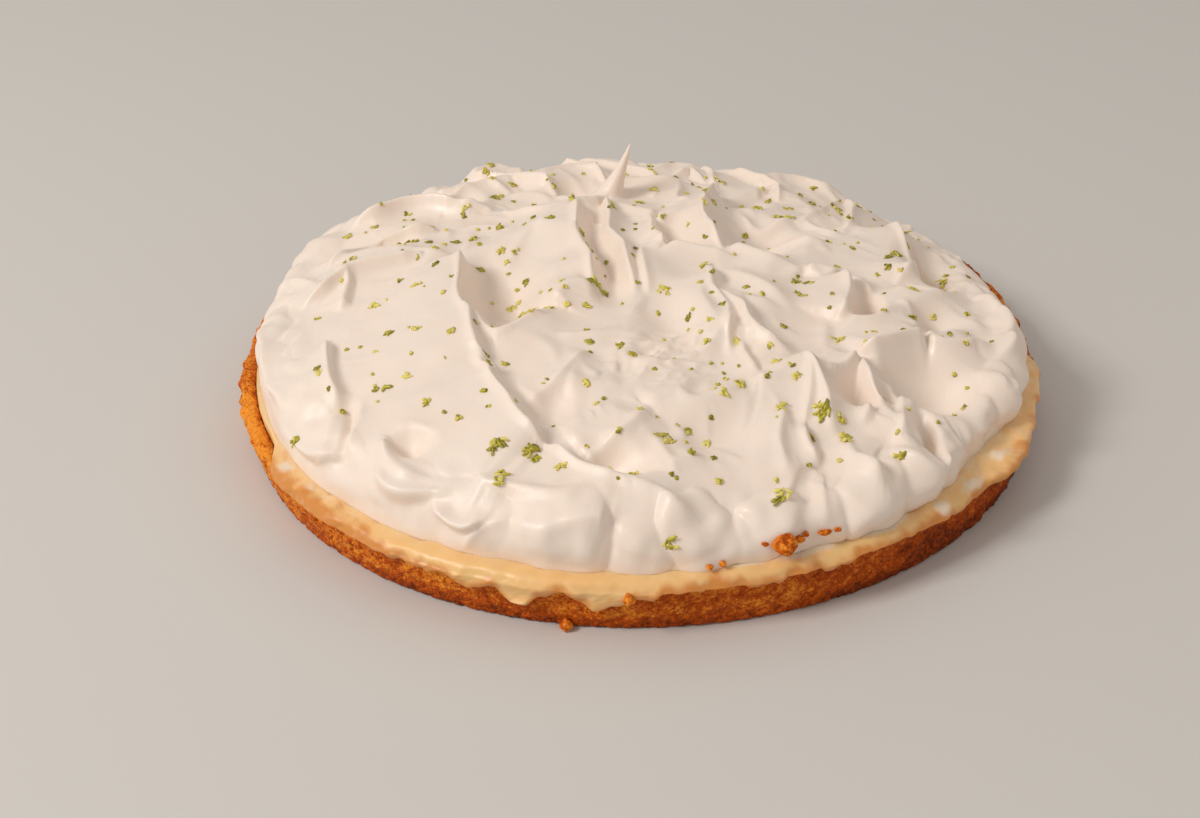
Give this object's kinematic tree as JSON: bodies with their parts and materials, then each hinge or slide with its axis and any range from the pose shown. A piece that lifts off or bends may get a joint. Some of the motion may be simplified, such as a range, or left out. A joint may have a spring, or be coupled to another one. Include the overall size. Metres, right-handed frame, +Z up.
{
  "type": "lemon pie",
  "caption": "Round lemon pie: pressed biscuit-crumb crust, lemon cream running over its rim, and a thick layer of meringue swept into crests and strewn with lime zest.",
  "frame": {"origin": "centre of the crust's flat underside, on the plane the pie stands on", "axes": "+Z up, +X to the right and +Y to the back as the pie is seen from its front, where the cream has run over the rim"},
  "size_m": [0.2559, 0.2574, 0.064],
  "materials": {
    "crumb_crust": "rough pressed crumbs",
    "lemon_cream": "smooth and moist",
    "meringue": "soft satin"
  },
  "bodies": {
    "root": {"crust": "crumb_crust", "lemon_cream": "lemon_cream", "meringue": "meringue"}
  },
  "joints": []
}
